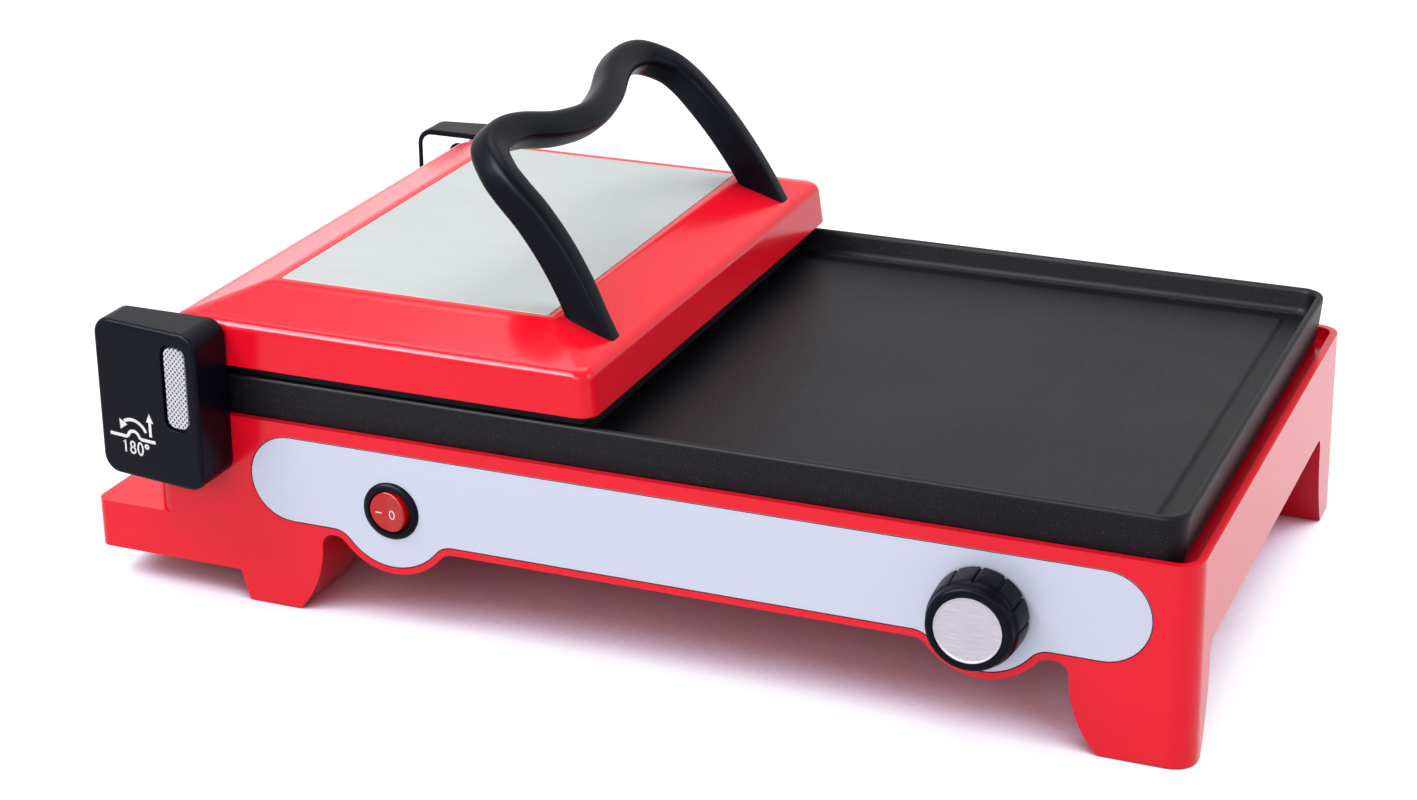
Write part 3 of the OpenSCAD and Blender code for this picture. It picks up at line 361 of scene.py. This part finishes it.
m = Mat("white_plastic", (0.88, 0.88, 0.85), 0.45)
m.vary_color(m.noise(40, 3), (0.86, 0.86, 0.83), (0.90, 0.90, 0.88))
m.bump(m.noise(1500, 3), 0.12, 0.03)
MATS["white_plastic"] = m.m

m = Mat("print_white", (0.90, 0.90, 0.91), 0.5)
m.vary_color(m.noise(900, 3), (0.86, 0.86, 0.87), (0.94, 0.94, 0.95))
MATS["print_white"] = m.m

m = Mat("shadow_gap", (0.05, 0.045, 0.05), 0.8, Specular_IOR_Level=0.1)
m.vary_color(m.noise(300, 2), (0.04, 0.035, 0.04), (0.07, 0.05, 0.06))
MATS["shadow_gap"] = m.m

for sub in frame["record"]["subparts"]:
    ob = nodes[sub["node"]]
    if not ob.material_slots:
        ob.data.materials.append(None)
    for s in ob.material_slots:
        s.material = MATS[sub["material_slot"]]

# ---------------------------------------------------------------- housing

softened("housing", "base_shell", "base", MATS["red_plastic"], 1.1)
softened("front_panel", "control_panel", "base", MATS["silver_panel"], 0.15, 2,
         gap_shadow=MATS["shadow_gap"])

# ---------------------------------------------------------------- lid

# left, right, front and rear
LID = (-189.3, -6.3, -124.2, 124.2)
INLAY = (-150.3, -37.5, -93.0, 93.0)


def lid_ring(left, right, side, r, z, n=10):
    """The lid's outline drawn in by so much at its left, its right and both sides."""
    return rring(LID[0] + left, LID[1] - right, LID[2] + side, LID[3] - side, r, z, n)


# from the hollow over the lower edge, up the wall, over the shoulder and the slope to the inlay's pocket
outlines = [(42, 35, 34, 3, 119), (40, 33, 32, 3, 119), (13.5, 6.6, 4.8, 3.5, 110.6), (3.4, 3.4, 3.1, 4, 97.2),
            (3.0, 3.0, 3.0, 4, 96.8), (0.7, 0.7, 0.7, 6.4, 96.8), (0.2, 0.2, 0.2, 6.9, 97.0),
            (0.03, 0.03, 0.02, 7, 97.6)]
outlines += bezier((6.2, 1.72, 0.98, 6.6, 110.6), (7.9, 2.3, 1.3, 6.2, 113.9), (13.2, 4.9, 4.6, 5.4, 114.75), 10)
outlines += bezier((31.6, 24.0, 24.2, 3.4, 121.25), (35.0, 27.2, 27.4, 2.6, 122.6), (36.6, 28.6, 28.8, 2.0, 122.7), 4)
outlines += [(36.9, 28.9, 29.1, 1.5, 122.68), (38.65, 30.65, 30.9, 1.4, 122.66), (38.75, 30.75, 30.95, 1.3, 122.5),
             (38.8, 30.8, 31.0, 1.2, 121.65)]
rings = [lid_ring(*outline) for outline in outlines]
piece("lid_cover", *loft(rings), "lid", "red_plastic", MATS["red_plastic"], replaces=("lid_shell",))

rings = [rring(INLAY[0] + i, INLAY[1] - i, INLAY[2] + i, INLAY[3] - i, max(1.1 - i, 0.6), z, 6)
         for i, z in ((0, 121.7), (0, 122.55), (0.08, 122.66), (0.25, 122.7))]
piece("lid_inlay", *loft(rings), "lid", "lid_plate", MATS["lid_plate"], replaces=("lid_inlay_plate",))

# ---------------------------------------------------------------- griddle

GX0, GX1, GY = -175.6, 210.4, 123.0
# how far in from the rim and how high: underside, outer wall, rim, inner wall, gutter, floor
profile = [(8.0, 79.0), (7.6, 78.6), (7.2, 72.4), (6.6, 72.0), (5.2, 72.05), (3.6, 72.5), (2.5, 73.5),
           (1.75, 75.2), (1.4, 77.5), (0.32, 91.2), (0.38, 92.0), (0.75, 92.7), (1.35, 93.0), (2.1, 93.0),
           (2.8, 92.75), (3.2, 92.1), (3.45, 91.2), (4.3, 85.6), (4.7, 84.4), (5.4, 83.4), (6.5, 82.85),
           (7.6, 82.75), (13.4, 82.75), (14.3, 82.95), (14.9, 83.4), (15.5, 83.85), (16.4, 84.0)]
rings = [rring(GX0 + i, GX1 - i, -GY + i, GY - i, max(9 - i * 0.5, 2.5), z, 8) for i, z in profile]
piece("griddle", *loft(rings), "base", "plate_coating", MATS["plate_coating"], replaces=("griddle_plate",))

# ---------------------------------------------------------------- hinge blocks

BX0, BX1, BZ0, BZ1, BR = -205.3, -156.9, 53.0, 116.0, 7.0
B_OUT = 22.0  # how far the face's right edge stands out from the housing
TILT = math.atan(7.0 / 48.4)
# distance of the lens's middle from the right edge, then its width, height, middle height and corner radius
LENS_IN, LENS_W, LENS_H, LENS_Z, LENS_R = 10.6, 9.8, 32.0, 93.5, 3.4


def lens_outline(grow):
    """Pairs of distance right of and above the lens's middle, round an outline larger by grow."""
    w, h = LENS_W / 2 + grow, LENS_H / 2 + grow
    return [(u, v) for u, v, _ in rring(-w, w, -h, h, LENS_R + grow, 0)]


def face_y(x):
    """Distance of the slanted outer face from the housing's side."""
    return B_OUT - (BX1 - x) * math.tan(TILT)


def block(name, node, sign, recess):
    def outline(inset):
        return [(x, z) for x, z, _ in rring(BX0 + inset, BX1 - inset, BZ0 + inset, BZ1 - inset, BR - inset, 0)]

    def back(inset, out):
        """A ring parallel to the housing's side, so far out from it."""
        return [(x, sign * (SIDE + out), z) for x, z in outline(inset)]

    def front(inset, depth):
        """A ring so far behind the slanted face."""
        return [(x, sign * (SIDE + face_y(x) - depth), z) for x, z in outline(inset)]

    def pocket(grow, depth):
        out = []
        for u, v in lens_outline(grow):
            x = BX1 - LENS_IN * math.cos(TILT) + u * math.cos(TILT)
            out.append((x, sign * (SIDE + face_y(x) - depth), LENS_Z + v))
        return out

    rings = [back(2.3, 2.4), back(2.2, 1.5), back(2.2, 0.3), back(2.0, 0.05), back(1.7, 0),
             back(0.5, 0), back(0.15, 0.15), back(0, 0.5),
             front(0, 1.5), front(0.2, 0.75), front(0.75, 0.2), front(1.5, 0.0)]
    if recess:
        rings += [pocket(1.5, 0.0), pocket(1.3, 0.12), pocket(1.2, 0.3), pocket(1.15, 1.1), pocket(0.3, 1.1),
                  pocket(0.25, 2.9)]
    piece(name, *loft(rings), "base", "black_plastic", MATS["black_plastic"], replaces=(node,))


block("pivot_block_front", "hinge_block_front", -1, True)
block("pivot_block_rear", "hinge_block_rear", 1, False)


def face_point(u, v, lift=0.0):
    """u right along the front block's face from its left edge, v up from its foot, lift out from it."""
    c, s = math.cos(TILT), math.sin(TILT)
    run = (BX1 - BX0) / c - u
    return (BX1 - run * c - lift * s, -(SIDE + B_OUT) + run * s - lift * c, BZ0 + v)


lens_u = (BX1 - BX0) / math.cos(TILT) - LENS_IN
rings = [[face_point(lens_u + u, LENS_Z - BZ0 + v, lift) for u, v in lens_outline(grow)]
         for grow, lift in ((0.05, -2.0), (0.05, -0.75), (-0.1, -0.52), (-0.45, -0.42))]
piece("lamp_lens", *loft(rings), "base", "clear_lens", MATS["clear_lens"], replaces=("indicator_lens",))

# ---------------------------------------------------------------- printed marks


def ribbon(name, lines, width, place, body):
    """Flat printed strokes along lines, closed where they end as they start; place maps (u, v) to a point."""
    verts, faces = [], []
    for line in lines:
        closed = len(line) > 2 and line[0] == line[-1]
        pts = line[:-1] if closed else line
        n = len(pts)
        start = len(verts)
        for i, p in enumerate(pts):
            a = pts[(i - 1) % n] if closed or i > 0 else p
            b = pts[(i + 1) % n] if closed or i < n - 1 else p
            dx, dy = b[0] - a[0], b[1] - a[1]
            d = math.hypot(dx, dy) or 1
            nx, ny = -dy / d * width / 2, dx / d * width / 2
            verts += [place(p[0] + nx, p[1] + ny), place(p[0] - nx, p[1] - ny)]
        for i in range(n if closed else n - 1):
            j = (i + 1) % n
            faces.append((start + 2 * i, start + 2 * i + 1, start + 2 * j + 1, start + 2 * j))
    piece(name, verts, faces, body, "white_plastic", MATS["print_white"], weighted=False)


def arc(cx, cy, r, a0, a1, n=20, ry=None):
    """n + 1 points round (cx, cy) from angle a0 to a1, on an ellipse where ry is given."""
    return [(cx + r * math.cos(math.radians(a0 + (a1 - a0) * i / n)),
             cy + (ry or r) * math.sin(math.radians(a0 + (a1 - a0) * i / n))) for i in range(n + 1)]


def loop(cx, cy, r, n, ry=None):
    """A full arc whose last point is exactly its first."""
    points = arc(cx, cy, r, 0, 360, n, ry)
    return points[:-1] + points[:1]


def on_face(u, v):
    return face_point(u, v, PRINT_LIFT)


ribbon("mark_lid_folds", [
    [(4.6, 16.5), (12.6, 16.5)] + arc(16.2, 16.4, 2.8, 165, 15, 10) + [(19.8, 16.5), (26.8, 16.5)],
    arc(15.9, 16.6, 7.2, 26, 124, 12),
    [(24.6, 18.4), (24.6, 24.6)]], 1.35, on_face, "base")
tips = [(22.8, 24.2), (26.4, 24.2), (24.6, 28.0), (9.6, 23.4), (13.4, 21.4), (9.9, 19.0)]
piece("mark_arrow_tips", [on_face(*p) for p in tips], [(0, 1, 2), (3, 4, 5)], "base", "white_plastic",
      MATS["print_white"], weighted=False)


def digit(ch, u, v, h):
    """The strokes of a 1, an 8 or a 0 of height h, with its lower left corner at (u, v)."""
    w = h * 0.5
    if ch == "1":
        return [[(u + w * 0.15, v + h * 0.78), (u + w * 0.55, v + h), (u + w * 0.55, v)]]
    if ch == "8":
        return [loop(u + w / 2, v + h * 0.745, w * 0.40, 20, h * 0.235),
                loop(u + w / 2, v + h * 0.27, w * 0.48, 20, h * 0.26)]
    return [loop(u + w / 2, v + h * 0.5, w * 0.48, 24, h * 0.5)]


strokes = [loop(22.3, 14.0, 0.75, 16)]  # the degree sign
for i, ch in enumerate("180"):
    strokes += digit(ch, 10.4 + i * 3.7, 10.0, 4.9)
ribbon("mark_half_turn", strokes, 0.8, on_face, "base")

# ---------------------------------------------------------------- handle

FOOT = (-23.7, 118.98)  # x and z where the legs leave the lid
ACROSS, UP = 48.9, 58.52  # from there to the grip
ANGLE = math.atan(ACROSS / UP)
LEN = math.hypot(ACROSS, UP)
BEVEL = math.atan(0.3254)  # the lid's slope under the feet
HALF = 87.7
DIP = 12.0
GRIP, LEG_W, LEG_T = 12.9, 14.8, 8.0
STEPS, AROUND = 8, 40  # steps between two knots, points round the section

# y, distance along the leaning plane and distance out of it, from the foot to the grip's middle
half = [(HALF + 0.4, -14, -1.9), (HALF, 0, 1.1), (HALF - 1.8, LEN * 0.19, 3.9), (HALF - 3.3, LEN * 0.385, 5.6),
        (HALF - 4.4, LEN * 0.577, 5.8), (HALF - 5, LEN * 0.73, 4.8), (HALF - 8, LEN * 0.85, 3.2),
        (HALF - 17, LEN * 0.967, 0.6), (HALF - 29.6, LEN, 0.1), (HALF - 43.4, LEN * 0.975, 0.3),
        (HALF - 63.7, LEN - DIP * 0.72, 1.6), (0, LEN - DIP, 2.4)]
knots = half + [(-p[0], p[1], p[2]) for p in reversed(half[:-1])]
line = []
for i in range(len(knots) - 1):
    q = [knots[max(i - 1, 0)], knots[i], knots[i + 1], knots[min(i + 2, len(knots) - 1)]]
    line += [spline(*q, j / STEPS) for j in range(STEPS)]
line.append(knots[-1])
rings = []
for i, p in enumerate(line):
    a, b = line[max(i - 1, 0)], line[min(i + 1, len(line) - 1)]
    dy, dz = b[0] - a[0], b[1] - a[1]
    d = math.hypot(dy, dz)
    side = (-dz / d, dy / d)
    share = min(1, max(0, p[1] / LEN))
    wide = LEG_W + (GRIP - LEG_W) * share
    thick = LEG_T + (GRIP - LEG_T) * share
    power = 0.3 + 0.32 * share  # the legs are squarer than the grip
    ring = []
    for k in range(AROUND):
        c, s = math.cos(2 * math.pi * k / AROUND), math.sin(2 * math.pi * k / AROUND)
        u = math.copysign(abs(c) ** power, c) * thick / 2
        v = math.copysign(abs(s) ** power, s) * wide / 2
        x, y, z = p[2] + v, p[0] + side[0] * u, p[1] + side[1] * u
        ring.append((FOOT[0] + x * math.cos(ANGLE) - z * math.sin(ANGLE), y,
                     FOOT[1] + x * math.sin(ANGLE) + z * math.cos(ANGLE)))
    rings.append(ring)
piece("handle", *loft(rings), "lid", "black_plastic", MATS["black_plastic"], replaces=("lid_handle",),
      weighted=False, cut=((FOOT[0], 0, FOOT[1] - 0.1), (math.sin(BEVEL), 0, math.cos(BEVEL))))

# ---------------------------------------------------------------- knob, switch

KX, SX, CZ, FY = 141.1, -89.6, 48.3, -SIDE
KNOB_R = 17.5
FLUTES, FLUTE_DEPTH, FLUTE_HALF, FLUTE_LEN = 12, 0.8, 0.55, 12.4


def standing_out(*profile):
    """Pairs of radius and y from pairs of radius and height above the panel's face."""
    return [(r, FY - height) for r, height in profile]


def flute(a, r, y):
    """What a groove takes off the knob's radius at angle a."""
    if y < FY - FLUTE_LEN:
        return 0
    t = ((a * FLUTES / (2 * math.pi) + 0.5) % 1 - 0.5) * 2 * math.pi / FLUTES * KNOB_R
    return FLUTE_DEPTH * math.exp(-(t / FLUTE_HALF) ** 4)


profile = standing_out(
    (3.1, 1.0), (17.0, 1.0), (17.45, 1.3), (KNOB_R, 1.9), (17.35, 6), (17.0, 10.6), (16.85, 11.2),
    (16.75, 11.8), (16.5, 12.35), (16.45, 12.45), (16.0, 13.2), (15.85, 14.9), (15.6, 15.8), (15.2, 16.3),
    (14.6, 16.5), (13.2, 16.5), (12.75, 16.35), (12.7, 15.0), (3.1, 15.0))
piece("knob_grip", *loft(round_y(profile, KX, CZ, 480, flute), False, False), "knob", "black_plastic",
      MATS["black_plastic"], replaces=("knob_body",))
profile = standing_out((12.45, 15.0), (12.45, 16.5), (12.3, 16.75), (12.05, 16.8), (11.8, 16.7), (11.6, 16.55),
                       (11.4, 16.52))
piece("knob_disc", *loft(round_y(profile, KX, CZ, 128)), "knob", "cap_steel", MATS["cap_steel"],
      replaces=("knob_cap",))

profile = standing_out((8.6, -3), (8.6, 1.15), (8.75, 1.5), (9.05, 1.65), (9.6, 1.6), (10.6, 1.3), (11.2, 0.8),
                       (11.5, 0.3), (11.5, 0.02), (10.9, -0.2))
piece("switch_bezel", *loft(round_y(profile, SX, CZ), False, False), "base", "black_plastic",
      MATS["black_plastic"], replaces=("switch_housing",))

ROCK = math.radians(10)
ROCK_R, RIM_OUT, DISH = 8.0, 4.0, 1.0  # radius, height of the ends above the pivot, depth of the dish
PIVOT_IN = 1.2  # from the panel's face to the pivot
ROCKER_AROUND = 64


def rocker_point(u, v, lift=0.0):
    """u to the right and v up from the pivot, lift outwards from the dished face."""
    out = RIM_OUT - DISH + DISH * min(abs(u) / ROCK_R, 1.0) ** 1.5 + lift
    c, s = math.cos(ROCK), math.sin(ROCK)
    return (SX + u * c - out * s, FY + PIVOT_IN - out * c - u * s, CZ + v)


turns = [2 * math.pi * k / ROCKER_AROUND for k in range(ROCKER_AROUND)]
rings = [[rocker_point(r * math.cos(a), r * math.sin(a), -drop) for a in turns]
         for r, drop in ((ROCK_R, 6.4), (ROCK_R, 1.0), (7.95, 0.45), (7.75, 0.15), (7.4, 0.0), (6.4, 0), (5.2, 0),
                         (4.0, 0), (2.8, 0), (1.6, 0), (0.5, 0))]
piece("rocker", *loft(rings), "rocker", "rocker_red", MATS["rocker_red"], replaces=("switch_rocker",))
ribbon("mark_on_off", [[(-5.5, -0.7), (-2.8, -0.7)], loop(2.0, -0.6, 1.2, 24, 1.6)], 0.48,
       lambda u, v: rocker_point(u, v, 0.04), "rocker")

# ---------------------------------------------------------------- camera, light, floor

cam = bpy.data.cameras.new("camera")
cam.sensor_fit = "HORIZONTAL"
cam.sensor_width = 36
cam.lens = 73.1188
cam.shift_x = 0.00652
cam.shift_y = -0.00285
cam.clip_end = 50
cam_ob = new_object("camera", cam)
cam_ob.location = (0.39298 + DX * MM, -0.99318, 0.48941)
cam_ob.rotation_euler = [math.radians(a) for a in (68.1638, 0.2915, 22.2554)]
bpy.context.scene.camera = cam_ob


def area(name, loc, target, size, power):
    """A lamp at loc that faces target, of that width and height, in metres and watts."""
    li = bpy.data.lights.new(name, "AREA")
    li.shape = "RECTANGLE"
    li.size, li.size_y = size
    li.energy = power
    ob = new_object(name, li)
    ob.location = loc
    ob.rotation_euler = (Vector(target) - Vector(loc)).to_track_quat("-Z", "Y").to_euler()
    return ob


def seen_by(tree, *rays):
    """A socket that is 1 for these kinds of ray and 0 for all others."""
    path = tree.nodes.new("ShaderNodeLightPath")
    got = path.outputs[rays[0]]
    for ray in rays[1:]:
        either = tree.nodes.new("ShaderNodeMath")
        either.operation = "MAXIMUM"
        tree.links.new(got, either.inputs[0])
        tree.links.new(path.outputs[ray], either.inputs[1])
        got = either.outputs[0]
    return got


area("top_light", (-0.25, 0.4, 1.5), (0, 0, 0.05), (1.3, 0.9), 13)
area("left_light", (-0.85, -0.7, 1.3), (-0.1, 0, 0.1), (0.6, 0.3), 9)
area("front_light", (0.1, -1.8, 0.8), (0, 0, 0.05), (1.6, 0.8), 18)
edge = area("edge_light", (-0.86, -1.15, 1.05), (-0.1, -0.12, 0.1), (1.3, 0.5), 60)
edge.visible_diffuse = False  # it only draws the highlight along the lid's shoulder
area("right_light", (1.6, 0.1, 0.8), (0, 0, 0.05), (0.8, 1.0), 8)

world = bpy.data.worlds.new("studio")
bpy.context.scene.world = world
world.use_nodes = True
t = world.node_tree
t.nodes.clear()
fill = t.nodes.new("ShaderNodeBackground")
fill.inputs["Color"].default_value = (0.97, 0.98, 1, 1)
fill.inputs["Strength"].default_value = 0.45
white = t.nodes.new("ShaderNodeBackground")
white.inputs["Color"].default_value = (1, 1, 1, 1)
white.inputs["Strength"].default_value = 1.0
mix = t.nodes.new("ShaderNodeMixShader")
out = t.nodes.new("ShaderNodeOutputWorld")
t.links.new(seen_by(t, "Is Camera Ray", "Is Transmission Ray", "Is Glossy Ray"), mix.inputs["Fac"])
t.links.new(fill.outputs[0], mix.inputs[1])
t.links.new(white.outputs[0], mix.inputs[2])
t.links.new(mix.outputs[0], out.inputs["Surface"])

FLOOR_HALF = 9
corners = [(x * FLOOR_HALF, y * FLOOR_HALF, 0) for x, y in ((-1, -1), (1, -1), (1, 1), (-1, 1))]
me = bpy.data.meshes.new("floor")
me.from_pydata(corners, [], [(0, 1, 2, 3)])
floor = new_object("floor", me)
pale = bpy.data.materials.new("pale_floor")
pale.use_nodes = True
t = pale.node_tree
b = t.nodes["Principled BSDF"]
b.inputs["Base Color"].default_value = (0.30, 0.28, 0.30, 1)
b.inputs["Roughness"].default_value = 0.5
b.inputs["Specular IOR Level"].default_value = 0.2
# painted shadow: the less open sky a spot sees, the darker and redder the floor's glow, a painted shadow with a
# painted red bounce as under a red housing
occ = t.nodes.new("ShaderNodeAmbientOcclusion")
occ.inputs["Distance"].default_value = 0.11
occ.samples = 16
painted_shadow_tone = t.nodes.new("ShaderNodeValToRGB")
stops = painted_shadow_tone.color_ramp.elements
stops.new(0.5)
stops.new(0.75)
for stop, (pos, col) in zip(stops, ((0.1, (0.05, 0, 0.001)), (0.24, (0.22, 0.03, 0.05)),
                                    (0.36, (0.60, 0.44, 0.58)), (0.52, (0.88, 0.86, 0.89)))):
    stop.position = pos
    stop.color = col + (1,)
glow = t.nodes.new("ShaderNodeEmission")
add = t.nodes.new("ShaderNodeAddShader")
t.links.new(occ.outputs["AO"], painted_shadow_tone.inputs["Fac"])
t.links.new(painted_shadow_tone.outputs["Color"], glow.inputs["Color"])
t.links.new(seen_by(t, "Is Camera Ray", "Is Glossy Ray"), glow.inputs["Strength"])
t.links.new(b.outputs[0], add.inputs[0])
t.links.new(glow.outputs[0], add.inputs[1])
t.links.new(add.outputs[0], t.nodes["Material Output"].inputs["Surface"])
me.materials.append(pale)

bpy.context.scene.view_settings.view_transform = "Standard"
